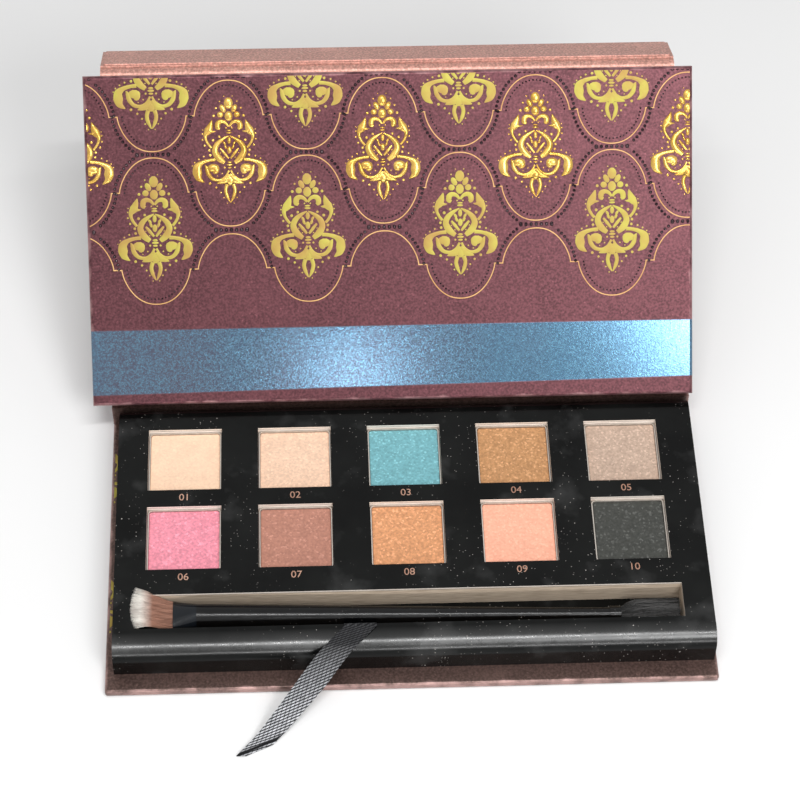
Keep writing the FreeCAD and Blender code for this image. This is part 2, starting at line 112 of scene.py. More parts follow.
def shade(look, **values):
    """Sets or links inputs of a material's shader."""
    shader = look.node_tree.nodes["Principled BSDF"]
    for name, value in values.items():
        feed(look, shader.inputs[name.replace("_", " ")], value)


def new_look(name, **values):
    look = bpy.data.materials.new(name)
    look.use_nodes = True
    shade(look, **values)
    return look


def put(look, kind, inputs, **settings):
    """Adds a node to a material."""
    made = look.node_tree.nodes.new("ShaderNode" + kind)
    for name, value in settings.items():
        setattr(made, name, value)
    for name, value in inputs.items():
        feed(look, made.inputs[name], value)
    return made


def where(look, kind="Object"):
    """Coordinates of the given kind; those of the object are in metres."""
    return put(look, "TexCoord", {}).outputs[kind]


def where_in(look, matrix):
    """Object coordinates taken into the frame of the lid or the flap."""
    return put(look, "Mapping", {
        "Vector": where(look),
        "Location": tuple(matrix.translation),
        "Rotation": tuple(matrix.to_euler()),
    }, vector_type="TEXTURE").outputs["Vector"]


def parts(look, vector):
    split = put(look, "SeparateXYZ", {"Vector": vector})
    return split.outputs["X"], split.outputs["Y"], split.outputs["Z"]


def stretched(look, vector, scale):
    return put(look, "Mapping", {"Vector": vector, "Scale": scale}).outputs["Vector"]


def noise(look, vector, scale, detail=3.0):
    return put(look, "TexNoise", {"Vector": vector, "Scale": scale, "Detail": detail}).outputs["Fac"]


def cells(look, vector, scale):
    """Scattered cells: the distance to the cell's point, and a random value for each cell."""
    made = put(look, "TexVoronoi", {"Vector": vector, "Scale": scale})
    value = put(look, "SeparateColor", {"Color": made.outputs["Color"]}).outputs["Red"]
    return made.outputs["Distance"], value


def span(look, value, low, high, start=0.0, stop=1.0):
    """Takes a value from the range low to high into the range start to stop, and no further."""
    return put(look, "MapRange", {
        "Value": value, "From Min": low, "From Max": high, "To Min": start, "To Max": stop,
    }).outputs["Result"]


def maths(look, kind, first, second):
    """One step of arithmetic, of the kind that Blender's name for it says."""
    return put(look, "Math", {0: first, 1: second}, operation=kind).outputs["Value"]


def times(look, *values):
    made = values[0]
    for value in values[1:]:
        made = maths(look, "MULTIPLY", made, value)
    return made


def mixed(look, share, first, second):
    return put(look, "Mix", {0: share, 6: first, 7: second}, data_type="RGBA").outputs[2]


def bumped(look, height, distance, strength):
    return put(look, "Bump", {
        "Height": height, "Distance": distance, "Strength": strength,
    }).outputs["Normal"]


def scaled(colour, by):
    return tuple(min(1.0, by * c) for c in colour)


# Materials

FOIL_GREY = (0.105, 0.105, 0.148)
FOIL_BLUE = (0.078, 0.16, 0.25)
FOIL_GRAIN = (0.14, 0.29, 0.40)
# The foil band on the lid: half its length, its lower edge at the left and the right end, and its
# upper edge, from the hinge, with the half width of the blur at an edge.
FOIL_HALF = 88 * MM
FOIL_LOWER_LEFT = 0.7 * MM
FOIL_LOWER_RIGHT = 3.0 * MM
FOIL_UPPER = 19.6 * MM
FOIL_BLUR = 0.2 * MM

# Pale pink painted along a board's edges: painted highlights where its rounded edges catch the light.
LID_EDGE_HIGHLIGHT = (0.62, 0.36, 0.36)
BASE_EDGE_HIGHLIGHT = (0.60, 0.38, 0.35)
# Where the painted highlight along a board's edges begins and is fullest, from the board's edge, and how
# ragged it is.
EDGE_HIGHLIGHT_START = -0.8 * MM
EDGE_HIGHLIGHT_FULL = 0.3 * MM
EDGE_HIGHLIGHT_RAGGED = 0.6 * MM

PAPER_GRAIN = 2600
PAPER_RELIEF = 0.04 * MM

DUST = (0.62, 0.58, 0.54)
# Fine and coarse specks of dust: cells in a metre, and a speck's radius as a share of a cell.
SPECKS = ((1100, 0.16), (520, 0.11))
SMUDGE = (0.4, 0.4, 0.4)
CARD_GLOSS = 0.12
FOLD_GLOSS = 1.0
# Below the tray's top, where the pale upper edge of a cut begins and is full.
CUT_BEGIN = 0.6 * MM
CUT_FULL = 0.5 * MM
# Where the worn fold begins and is full, behind the cover's front and below the tray's top.
WORN_BACK = 7.0 * MM
WORN_FRONT = 2.6 * MM
WORN_LOW = 2.4 * MM
WORN_HIGH = 0.9 * MM

# Where the painted shade on the insert, darkest in the brush slot, gives way to the paler board round the
# pans.
SLOT_SHADE_FULL = -20.5 * MM
SLOT_SHADE_GONE = -20.0 * MM

# How far the ribbon's threads and the painted shade of its fold run along it for each millimetre across.
WEAVE_SLANT = 0.685
FOLD_SHADE_SLANT = 1.02


def paper(look, vector, colour):
    """The colour of coated paper with a fine pearly grain, and painted glints in scattered cells."""
    cloud = span(look, noise(look, vector, 60, 5), 0.3, 0.7)
    grain = span(look, noise(look, vector, 1500, 3), 0.38, 0.64)
    made = mixed(look, cloud, scaled(colour, 0.68), scaled(colour, 0.92))
    made = mixed(look, times(look, grain, 0.55), made, scaled(colour, 2.0))
    # Scattered cells at four times the colour: painted glints of the pearl shimmer.
    _, chance = cells(look, vector, 2400)
    return mixed(look, span(look, chance, 0.96, 1.0, 0, 0.25), made, scaled(colour, 4.0))


def foil(look, vector):
    """The colour of the blue foil band, greyer to the left."""
    cloud = span(look, noise(look, stretched(look, vector, (1, 0.25, 1)), 26, 2), 0.35, 0.65, -0.3, 0.3)
    drift = maths(look, "ADD", span(look, parts(look, vector)[0], -0.09, 0.06), cloud)
    made = mixed(look, drift, FOIL_GREY, FOIL_BLUE)
    fine = span(look, noise(look, vector, 2200, 4), 0.40, 0.70)
    return mixed(look, times(look, fine, 0.8), made, FOIL_GRAIN)


def band_share(look, vector):
    """1 on the band across the lid's lower part, whose lower edge is a little askew."""
    across, along, _ = parts(look, vector)
    lower = span(look, across, -FOIL_HALF, FOIL_HALF, FOIL_LOWER_LEFT, FOIL_LOWER_RIGHT)
    above = span(look, maths(look, "SUBTRACT", along, lower), -FOIL_BLUR, FOIL_BLUR)
    below = span(look, along, FOIL_UPPER + FOIL_BLUR, FOIL_UPPER - FOIL_BLUR)
    return times(look, above, below)


def painted_edge_highlights(look, vector, colour, box, pale):
    """Painted highlight in a pale paper colour along a board's four edges, where its rounded edges catch
    the light; the board's middle lies at 0 across.
    """
    low, high = box
    across, along, _ = parts(look, vector)
    ragged = span(look, noise(look, vector, 220, 6), 0.3, 0.7, -EDGE_HIGHLIGHT_RAGGED, EDGE_HIGHLIGHT_RAGGED)
    side = maths(look, "SUBTRACT", maths(look, "ABSOLUTE", across, 0), high.x)
    centred = maths(look, "SUBTRACT", along, (low.y + high.y) / 2)
    end = maths(look, "SUBTRACT", maths(look, "ABSOLUTE", centred, 0), (high.y - low.y) / 2)
    reach = maths(look, "ADD", maths(look, "MAXIMUM", side, end), ragged)
    return mixed(look, span(look, reach, EDGE_HIGHLIGHT_START, EDGE_HIGHLIGHT_FULL, 0, 0.55), colour, pale)


def lid_look(name, colour):
    """Maroon paper with the foil band across it."""
    look = new_look(name)
    vector = where_in(look, LID)
    on_foil = band_share(look, vector)
    grain = noise(look, vector, PAPER_GRAIN, 2)
    ground = paper(look, vector, colour)
    # Painted highlights along the lid's edges, where its rounded edges catch the light.
    ground = painted_edge_highlights(look, vector, ground, extent("lid_board", LID), LID_EDGE_HIGHLIGHT)
    shade(look, Base_Color=mixed(look, on_foil, ground, foil(look, vector)),
          Metallic=span(look, on_foil, 0, 1, 0.55, 0.9),
          Roughness=span(look, on_foil, 0, 1, 0.36, 0.13), Specular_IOR_Level=0.2,
          Normal=bumped(look, grain, PAPER_RELIEF, span(look, on_foil, 0, 1, 0.3, 0.24)))
    return look


def board_look(name, colour, pearl, matrix=None, edges=None):
    """Plain pearly paper over a board, a little rubbed, with painted highlights along the edges of a given
    box.
    """
    look = new_look(name, Metallic=pearl, Roughness=0.36, Specular_IOR_Level=0.3)
    vector = where_in(look, matrix) if matrix else where(look)
    rub = span(look, noise(look, vector, 140, 6), 0.60, 0.72, 0, 0.35)
    made = mixed(look, rub, paper(look, vector, colour), scaled(colour, 2.0))
    if edges:
        # Painted highlights along the edges of the given box, where its rounded edges catch the light.
        made = painted_edge_highlights(look, vector, made, edges, BASE_EDGE_HIGHLIGHT)
    grain = noise(look, vector, PAPER_GRAIN, 2)
    shade(look, Base_Color=made, Normal=bumped(look, grain, PAPER_RELIEF, 0.5))
    return look


def dusty(look, vector, colour, amount):
    """Pale dust specks in patches over a dark colour."""
    patch = span(look, noise(look, vector, 45, 3), 0.44, 0.68)
    made = colour
    for scale, size in SPECKS:
        distance, chance = cells(look, vector, scale)
        speck = times(look, span(look, distance, size, 0.6 * size), span(look, chance, 0.66, 0.70), patch)
        made = mixed(look, times(look, speck, amount), made, DUST)
    return made


def pale_cuts(look, vector, colour):
    """Pale fibre on cut card: on faces to the sides, and on the top of walls to the front or back."""
    across, along, _ = parts(look, where(look, "Normal"))
    side = span(look, maths(look, "ABSOLUTE", across, 0), 0.6, 0.8)
    wall = span(look, maths(look, "ABSOLUTE", along, 0), 0.8, 0.95)
    high = span(look, parts(look, vector)[2], TRAY_TOP - CUT_BEGIN, TRAY_TOP - CUT_FULL)
    fibre = mixed(look, noise(look, vector, 3000, 3), (0.62, 0.53, 0.46), (0.95, 0.88, 0.80))
    return mixed(look, maths(look, "MAXIMUM", side, times(look, wall, high)), colour, fibre)


def worn_fold(look, vector):
    """Up to 1, in patches, along the front fold of the tray's cover."""
    _, along, up = parts(look, vector)
    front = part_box("tray_cover")[0].y
    near = span(look, along, front + WORN_BACK, front + WORN_FRONT)
    high = span(look, up, TRAY_TOP - WORN_LOW, TRAY_TOP - WORN_HIGH)
    return times(look, near, high, span(look, noise(look, vector, 45, 4), 0.35, 0.65, 0.6, 1))


def card_look(name, is_cover):
    """Glossy black card with dust and rubs. The tray's cover also has cut edges and a worn fold."""
    look = new_look(name, Specular_IOR_Level=CARD_GLOSS)
    vector = where(look)
    rough = span(look, noise(look, vector, 400, 5), 0.3, 0.7, 0.15, 0.26)
    cloud = span(look, noise(look, vector, 60, 6), 0.35, 0.7)
    made = mixed(look, cloud, (0.002, 0.0022, 0.0022), (0.007, 0.0075, 0.0072))
    smudge = span(look, noise(look, vector, 75, 8), 0.56, 0.72, 0, 0.06)
    made = dusty(look, vector, mixed(look, smudge, made, SMUDGE), 0.8)
    if is_cover:
        made = pale_cuts(look, vector, made)
        fold = worn_fold(look, vector)
        rough = maths(look, "ADD", rough, times(look, fold, 0.1))
        shade(look, Specular_IOR_Level=span(look, fold, 0, 1, CARD_GLOSS, FOLD_GLOSS))
    wave = maths(look, "ADD", noise(look, vector, 50, 2), times(look, noise(look, vector, 260, 4), 0.1))
    shade(look, Base_Color=made, Roughness=rough, Normal=bumped(look, wave, 1.0 * MM, 0.2))
    return look


def raw_look():
    """Raw board in layers, darkened by painted shade in the brush slot and paler round the pans."""
    look = new_look("raw board", Roughness=0.85)
    vector = where(look)
    layers = span(look, noise(look, stretched(look, vector, (0.3, 0.3, 3)), 600, 5), 0.3, 0.7)
    # Painted shade: the board is darker in the brush slot, under the brush.
    out_of_slot_shade = span(look, parts(look, vector)[1], SLOT_SHADE_FULL, SLOT_SHADE_GONE)
    dark = mixed(look, out_of_slot_shade, (0.40, 0.31, 0.23), (0.66, 0.57, 0.50))
    pale = mixed(look, out_of_slot_shade, (0.62, 0.51, 0.39), (0.92, 0.84, 0.76))
    shade(look, Base_Color=mixed(look, layers, dark, pale), Normal=bumped(look, layers, 0.1 * MM, 0.5))
    return look


def tin_look():
    """Bare tin with a mottled shine."""
    look = new_look("tin", Metallic=0.7)
    mark = noise(look, where(look), 900, 4)
    shade(look, Base_Color=mixed(look, mark, (0.42, 0.38, 0.34), (0.74, 0.69, 0.63)),
          Roughness=span(look, mark, 0.3, 0.7, 0.3, 0.5))
    return look


def powder_look(name, colour, shine):
    """Pressed powder: soft clouding, fine grain, and painted glints for the shimmering ones."""
    look = new_look(name, Roughness=0.8 - 0.3 * shine, Metallic=0.2 * shine, Specular_IOR_Level=0.3)
    vector = where(look)
    cloud = span(look, noise(look, vector, 260, 5), 0.3, 0.7)
    grain = noise(look, vector, 1300, 4)
    made = mixed(look, cloud, scaled(colour, 0.97), scaled(colour, 1.07))
    made = mixed(look, span(look, grain, 0.40, 0.66, 0, 0.25 + 0.55 * shine), made, scaled(colour, 0.66))
    # Painted glints: scattered cells lighter than the powder, more of them in the shimmering shades.
    _, chance = cells(look, vector, 1900)
    glint = span(look, chance, 0.80, 1.0, 0, 0.2 + 0.7 * shine)
    painted_glint_colour = tuple(1.4 * part + 0.05 for part in colour)
    shade(look, Base_Color=mixed(look, glint, made, painted_glint_colour), Normal=bumped(look, grain, 0.12 * MM, 0.6))
    return look


def lacquer_look(name, dark, light, rough):
    """Dark lacquer with a little dust."""
    look = new_look(name, Specular_IOR_Level=0.26)
    vector = where(look)
    cloud = noise(look, vector, 250, 5)
    made = mixed(look, cloud, dark, light)
    shade(look, Base_Color=dusty(look, vector, made, 0.4),
          Roughness=span(look, cloud, 0.3, 0.7, rough, rough + 0.1))
    return look


def hair_look(name, root, tip, start, stop, clumping):
    """Brush hair that changes colour along the brush, with darker clumps."""
    look = new_look(name, Roughness=0.55, Specular_IOR_Level=0.25)
    vector = where(look)
    share = span(look, parts(look, vector)[0], start * MM, stop * MM)
    clump = noise(look, stretched(look, vector, (0.05, 1, 1)), 900, 2)
    made = mixed(look, share, root, tip)
    shade(look, Base_Color=mixed(look, span(look, clump, 0.4, 0.7, 0, clumping), made, scaled(root, 0.5)))
    return look


def ribbon_look():
    """A black ribbon with bright slanting threads, brighter towards the free end by a painted sheen, and
    hidden by painted shade in the fold before its end.

    Its cloth map is in millimetres across and along, with the ribbon's end at 0.
    """
    look = new_look("ribbon weave", Roughness=0.5, Specular_IOR_Level=0.2)
    vector = where(look, "UV")
    across, along, _ = parts(look, vector)
    slant = maths(look, "ADD", along, times(look, across, WEAVE_SLANT))
    place = put(look, "CombineXYZ", {"X": times(look, across, 4.0), "Y": slant}).outputs["Vector"]
    gap = put(look, "TexBrick", {
        "Vector": place, "Scale": 1.0, "Mortar Size": 0.39, "Mortar Smooth": 0.4,
        "Brick Width": 3.4, "Row Height": 1.4,
    }).outputs["Fac"]
    weave = maths(look, "SUBTRACT", 1.0, gap)
    worn = span(look, noise(look, vector, 0.6, 4), 0.35, 0.65, 0.6, 1.0)
    # Painted sheen: the threads grow brighter towards the free end, which turns towards the light.
    painted_sheen = span(look, along, -40, -16, 0.08, 1.0)
    # Painted shade in the fold before the end, where the threads are hidden.
    depth = maths(look, "ADD", along, times(look, across, FOLD_SHADE_SLANT))
    fold = times(look, span(look, depth, -6.6, -5.4), span(look, depth, -3.0, -4.0))
    shown = times(look, weave, worn, painted_sheen, maths(look, "SUBTRACT", 1.0, fold))
    shade(look, Base_Color=mixed(look, shown, (0.002, 0.002, 0.003), (0.66, 0.67, 0.70)),
          Normal=bumped(look, weave, 0.2 * MM, 0.7))
    return look


def metal_look(name, dark, light, metallic, rough):
    """Gold leaf, ink or embossed paper, its tone drifting from place to place."""
    look = new_look(name, Metallic=metallic)
    vector = where(look)
    tone = span(look, noise(look, vector, 150, 5), 0.36, 0.64)
    fine = noise(look, vector, 2500, 3)
    shade(look, Base_Color=mixed(look, tone, dark, light),
          Roughness=span(look, fine, 0.3, 0.7, rough, rough + 0.12),
          Normal=bumped(look, fine, 0.05 * MM, 0.3))
    return look


def floor_look():
    """A plain pale floor with a faint drift in tone."""
    look = new_look("pale floor", Roughness=0.9, Specular_IOR_Level=0.1)
    drift = noise(look, where(look), 6, 3)
    shade(look, Base_Color=mixed(look, drift, (0.88, 0.88, 0.88), (0.91, 0.91, 0.91)))
    return look


RAW = raw_look()
BLACK = card_look("black board", False)
RIBBON = ribbon_look()
LACQUER = lacquer_look("lacquer", (0.0004, 0.0004, 0.0006), (0.0015, 0.0015, 0.0017), 0.14)
FERRULE = lacquer_look("ferrule", (0.0015, 0.002, 0.003), (0.006, 0.009, 0.013), 0.12)
MAUVE = board_look("mauve paper", (0.45, 0.23, 0.185), 0.3, FLAP)
LINING = board_look("mauve lining", (0.47, 0.24, 0.195), 0.3, FLAP)
HINGE = board_look("hinge paper", (0.24, 0.08, 0.08), 0.4)
PLAIN = board_look("plain paper", (0.088, 0.054, 0.046), 0.5, edges=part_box("base_board"))
GOLD_RAISED = metal_look("raised gold", (0.46, 0.265, 0.05), (0.63, 0.41, 0.105), 0.85, 0.15)
GOLD_PRINT = metal_look("printed gold", (0.34, 0.21, 0.047), (0.385, 0.335, 0.052), 0.4, 0.42)
GOLD_LINE = metal_look("gold line", (0.50, 0.27, 0.09), (0.62, 0.37, 0.14), 0.3, 0.4)
BEAD = metal_look("embossed bead", (0.03, 0.019, 0.022), (0.075, 0.053, 0.058), 1.0, 0.12)
COPPER = metal_look("copper ink", (0.36, 0.19, 0.13), (0.55, 0.33, 0.24), 0.2, 0.45)
TIN = tin_look()
# The powders from left to right: colour, and how much they shimmer.
POWDERS = {
    "back": [((0.98, 0.675, 0.48), 0.0), ((0.90, 0.62, 0.45), 0.3), ((0.20, 0.47, 0.52), 0.8),
             ((0.585, 0.305, 0.138), 1.0), ((0.575, 0.42, 0.325), 0.7)],
    "front": [((0.88, 0.31, 0.395), 0.8), ((0.48, 0.226, 0.165), 0.6), ((0.73, 0.345, 0.167), 1.0),
              ((0.97, 0.465, 0.325), 0.3), ((0.057, 0.059, 0.053), 1.0)],
}


def dress(look, *nodes):
    """Puts a material on CAD nodes."""
    for node in nodes:
        mesh = NODES[node].data
        mesh.materials.clear()
        mesh.materials.append(look)


LID_PAPER = lid_look("ornate paper", (0.088, 0.032, 0.038))
dress(LID_PAPER, "lid_panel", "lid_board")
dress(PLAIN, "base_board", "spine_board")
dress(MAUVE, "flap_board")
dress(LINING, "flap_lining")
dress(card_look("black card", True), "tray_cover")
dress(BLACK, "tray_carrier", "tray_end_left", "tray_end_right")
dress(RAW, "tray_insert")
dress(TIN, "tray_magnets", "lid_keepers")
dress(LACQUER, "brush_handle", "brush_ferrule_slim")
dress(FERRULE, "brush_ferrule_wide")
for row, colours in POWDERS.items():
    for column, (colour, shine) in enumerate(colours, start=1):
        dress(TIN, f"pan_{row}_{column}")
        dress(powder_look(f"powder {row} {column}", colour, shine), f"powder_{row}_{column}")


# Ways to build meshes

def as_piece(name, mesh, look, body=None):
    """Makes a mesh a visible piece, which rides on a body if one is given."""
    mesh.materials.append(look)
    piece = bpy.data.objects.new(name, mesh)
    SCENE.collection.objects.link(piece)
    if body:
        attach(piece, body)
    return piece


def new_piece(name, points, faces, look, body=None):
    mesh = bpy.data.meshes.new(name)
    mesh.from_pydata(points, [], faces)
    mesh.shade_smooth()
    return as_piece(name, mesh, look, body)


def mesh_from(name, data, place=(0, 0, 0)):
    """A mesh from a curve or a text at a place."""
    holder = bpy.data.objects.new(name, data)
    holder.location = place
    SCENE.collection.objects.link(holder)
    bpy.context.view_layer.update()
    shown = holder.evaluated_get(bpy.context.evaluated_depsgraph_get())
    mesh = bpy.data.meshes.new_from_object(shown)
    mesh.transform(holder.matrix_world)
    bpy.data.objects.remove(holder)
    return mesh


# A strip's points across it and a dome's rings, as shares of the half width and the radius.
STRIP_SHARES = (-1, -0.75, 0, 0.75, 1)
DOME_SHARES = (1.0, 0.75, 0.4, 0.02)


class Relief:
    """Line work on a face: points (across, along, height) in millimetres, and faces."""

    def __init__(self):
        self.points = []
        self.faces = []

    def grid(self, rows):
        """Joins rows of points into faces."""
        first = len(self.points)
        width = len(rows[0])
        for row in rows:
            self.points.extend(row)
        for i in range(len(rows) - 1):
            for j in range(width - 1):
                a = first + i * width + j
                self.faces.append((a, a + 1, a + width + 1, a + width))

    def strip(self, line, widths, height):
        """A domed strip along a line of flat points."""
        rows = []
        for i, (point, width) in enumerate(zip(line, widths)):
            way = (line[min(i + 1, len(line) - 1)] - line[max(i - 1, 0)]).normalized()
            side = Vector((-way.y, way.x))
            row = []
            for t in STRIP_SHARES:
                spot = point + side * (t * width / 2)
                row.append((spot.x, spot.y, height * min(1.0, width) * math.sqrt(1 - t * t)))
            rows.append(row)
        self.grid(rows)

    def dome(self, centre, across, along, height, turn=0.0, sides=10):
        """A rounded bud with two radii, turned by an angle."""
        rows = []
        for ring in DOME_SHARES:
            row = []
            for k in range(sides + 1):
                a = 2 * math.pi * k / sides
                x, y = across * ring * math.cos(a), along * ring * math.sin(a)
                row.append((centre[0] + x * math.cos(turn) - y * math.sin(turn),
                            centre[1] + x * math.sin(turn) + y * math.cos(turn),
                            height * math.sqrt(1 - ring * ring)))
            rows.append(row)
        self.grid(rows)

    def lay(self, name, matrix, look, low, high, body, slot):
        """Lays the line work in a frame, trimmed to a rectangle, with its foot at low.z."""
        work = bmesh.new()
        made = [work.verts.new((x * MM, y * MM, low.z + z * MM)) for x, y, z in self.points]
        for face in self.faces:
            work.faces.new([made[i] for i in face])
        for corner, way in ((low, -1), (high, 1)):
            for axis in (0, 1):
                normal = Vector((0, 0, 0))
                normal[axis] = way
                everything = work.verts[:] + work.edges[:] + work.faces[:]
                bmesh.ops.bisect_plane(work, geom=everything, plane_co=corner, plane_no=normal,
                                       clear_outer=True)
        mesh = bpy.data.meshes.new(name)
        work.to_mesh(mesh)
        work.free()
        mesh.transform(matrix)
        mesh.shade_smooth()
        return as_piece(name, mesh, look, body)


def smooth_line(points, widths, steps=6):
    """A smooth run through points, with widths to match."""
    line, sizes = [], []
    ends = [Vector(p) for p in (points[0], *points, points[-1])]
    for i in range(len(points) - 1):
        a, b, c, d = ends[i:i + 4]
        for k in range(steps):
            t = k / steps
            bend = (2 * a - 5 * b + 4 * c - d) * t * t + (3 * b - a - 3 * c + d) * t * t * t
            line.append(0.5 * (2 * b + (c - a) * t + bend))
            sizes.append(widths[i] + (widths[i + 1] - widths[i]) * t)
    return [*line, ends[-1]], [*sizes, widths[-1]]


# The lid's pattern

# A palmette, as strokes (points, widths), buds (place, two radii, turn) and dots (place, radius)
# for its right half, in millimetres from its middle.
STROKES = [
    ([(0.1, 6.8), (1.0, 7.9), (2.2, 8.25), (3.1, 7.7), (3.2, 6.6), (2.6, 6.05)],
     [0.6, 1.0, 1.3, 1.6, 1.6, 0.8]),
    ([(4.85, 8.7), (5.3, 7.25), (5.95, 5.7), (6.8, 4.4), (6.7, 3.1), (6.05, 1.8), (5.15, 0.7)],
     [0.15, 1.5, 2.4, 1.3, 0.85, 0.8, 0.8]),
    ([(5.8, 5.7), (4.8, 5.4), (3.8, 5.45)], [1.2, 0.8, 0.1]),
    ([(0.15, 4.15), (2.15, 3.0), (3.65, 1.55), (4.2, -0.2), (3.25, -2.15), (1.5, -3.65)],
     [0.25, 1.1, 1.6, 1.75, 2.0, 1.2]),
    ([(0.3, -2.35), (1.5, -0.85), (2.6, 0.5)], [0.6, 0.95, 0.55]),
    ([(4.1, -2.7), (6.05, -2.9), (8.0, -3.55), (9.3, -4.75), (9.4, -6.5), (8.95, -8.05), (7.45, -9.25)],
     [1.1, 1.0, 1.3, 2.4, 2.8, 1.9, 0.15]),
    ([(0.25, -5.85), (1.3, -7.6), (3.0, -8.6), (4.95, -8.25), (6.25, -6.75), (6.7, -5.0), (7.15, -4.15)],
     [0.65, 0.75, 0.9, 1.1, 1.3, 1.1, 0.15]),
    ([(0.1, -7.0), (1.5, -8.7), (3.9, -9.6)], [1.2, 2.1, 0.2]),
    ([(0.9, -9.8), (1.35, -11.5), (0.95, -13.3), (0.1, -15.1)], [1.2, 1.1, 1.1, 0.2]),
]
BUDS = [
    (0.0, 13.5, 1.33, 1.65, 0.0), (1.65, 11.95, 0.8, 1.3, -0.5), (2.4, 10.2, 0.95, 0.9, 0.0),
    (0.0, 9.75, 1.2, 1.45, 0.0), (0.0, 5.7, 0.8, 0.28, 0.0), (0.0, 5.0, 0.9, 0.32, 0.0),
    (0.0, 2.8, 0.6, 1.1, 0.0), (1.4, 2.0, 0.4, 0.7, -0.6), (1.1, 0.95, 0.42, 0.75, -0.4),
    (0.0, 0.05, 0.7, 1.1, 0.0), (0.0, -3.45, 0.75, 0.32, 0.0), (0.0, -4.2, 1.0, 0.36, 0.0),
    (0.0, -5.05, 0.7, 0.32, 0.0), (4.75, -5.1, 1.75, 1.25, 0.0), (4.05, -5.75, 1.0, 1.25, 0.3),
    (0.0, -8.7, 1.2, 1.5, 0.0),
]
DOTS = [
    (1.2, 15.5, 0.20), (2.5, 14.0, 0.25), (3.6, 12.1, 0.33), (4.3, 9.9, 0.45), (7.55, 5.9, 0.20),
    (7.7, 4.75, 0.25), (7.7, 3.1, 0.30), (7.1, 1.4, 0.35), (5.8, 0.0, 0.42), (5.6, -1.4, 0.42),
    (7.45, -1.75, 0.30), (8.9, -2.5, 0.28), (10.1, -3.4, 0.25), (10.8, -4.4, 0.20), (5.85, -9.55, 0.43),
    (4.05, -10.7, 0.36), (2.75, -12.2, 0.30), (1.9, -13.7, 0.25), (0.95, -15.3, 0.20), (2.85, 3.9, 0.40),
    (4.65, 2.9, 0.45), (0.85, 6.4, 0.25), (1.5, -5.0, 0.32), (2.25, -6.7, 0.25), (3.7, -7.5, 0.20),
    (2.65, -0.8, 0.20), (1.6, -2.1, 0.22),
]
# The pattern's layout in millimetres: from column to column, where the middle column lies across the
# lid, half an arc's length and its rise, and rows and waves from the hinge.
COLUMN = 22.15
MIDDLE = -2.0
ARC_HALF = 9.9
ARC_RISE = 10.05
ARC_STEPS = 48
RAISED_ROW = 71.5
PRINTED_ROWS = (93.1, 49.3)
WAVES = (81.5, 59.6, 37.25)
# Widths and heights of the work in millimetres.
RAISED_HEIGHT = 0.36
PRINT_HEIGHT = 0.06
LINE_WIDTH = 0.3
LINE_HEIGHT = 0.12
BEAD_RADIUS = 0.48
END_BEAD_RADIUS = 0.58
BEAD_HEIGHT = 0.38
SMALL_BEAD_RADIUS = 0.29
SMALL_BEAD_HEIGHT = 0.22
# The large beads' distance outside an arc and their pitch, the bare stretch at its crest, and the row
# of beads over the crest; then the small beads' distance from the arc and their pitch.
BEADS_OFF = 1.5
BEAD_PITCH = 1.3
CREST_HALF = 5.6
CREST_OFF = 1.0
CREST_PITCH = 1.5
CREST_REACH = 3
SMALL_BEADS_OFF = -1.45
SMALL_BEAD_PITCH = 1.05
# The bare margin round a printed face and behind the base's print, the print's gap to the tray, and
# the middles of the palmettes that show on the base.
PRINT_MARGIN = 0.8 * MM
PRINT_BACK = 4 * MM
PRINT_GAP = 0.05 * MM
BASE_PRINT_ACROSS = -90.5
BASE_PRINT_ALONG = (26, -18)


def draw_motif(relief, place, height):
    """A palmette of scrolls, leaves and buds, the same to both sides."""
    middle = Vector(place)
    for points, widths in STROKES:
        for hand in (1, -1):
            line, sizes = smooth_line([(hand * x + middle.x, y + middle.y) for x, y in points], widths)
            relief.strip(line, sizes, height)
    for x, y, across, along, turn in BUDS:
        for hand in ((1, -1) if x else (1,)):
            relief.dome((hand * x + middle.x, y + middle.y), across, along, height, hand * turn)
    for x, y, radius in DOTS:
        for hand in ((1, -1) if x else (1,)):
            relief.dome((hand * x + middle.x, y + middle.y), radius, radius, height * radius, sides=6)


def arc(place, way, off):
    """One arc of a wave, or a line beside it, from end to end."""
    line = []
    for step in range(ARC_STEPS + 1):
        across = math.cos(math.pi * (1 - step / ARC_STEPS))
        rise = (ARC_RISE + off) * (1 - abs(across) ** 2.2) ** (2 / 3)
        line.append(Vector((place[0] + (ARC_HALF + off) * across, place[1] + way * rise)))
    return line


def spaced(line, pitch):
    """Points at equal steps along a line."""
    made, left = [], 0.0
    for a, b in zip(line, line[1:]):
        length = (b - a).length
        while left < length:
            made.append(a.lerp(b, left / length))
            left += pitch
        left -= length
    return made


def wave_arcs():
    """The arcs of the waves: the wave's number, the arc's place, and 1 for up or -1 for down."""
    for number, level in enumerate(WAVES):
        for k in range(-5, 6):
            way = 1 if (k + number) % 2 == 0 else -1
            yield number, (MIDDLE + k * COLUMN, level), way


def draw_waves(lines):
    """Three wavy lines of arcs and short steps."""
    lap = LINE_WIDTH / 2
    for _, (middle, level), way in wave_arcs():
        curve = arc((middle, level), way, 0)
        lines.strip(curve, [LINE_WIDTH] * len(curve), LINE_HEIGHT)
        step = [Vector((middle + x, level)) for x in (ARC_HALF - lap, COLUMN - ARC_HALF + lap)]
        lines.strip(step, [LINE_WIDTH] * 2, LINE_HEIGHT)


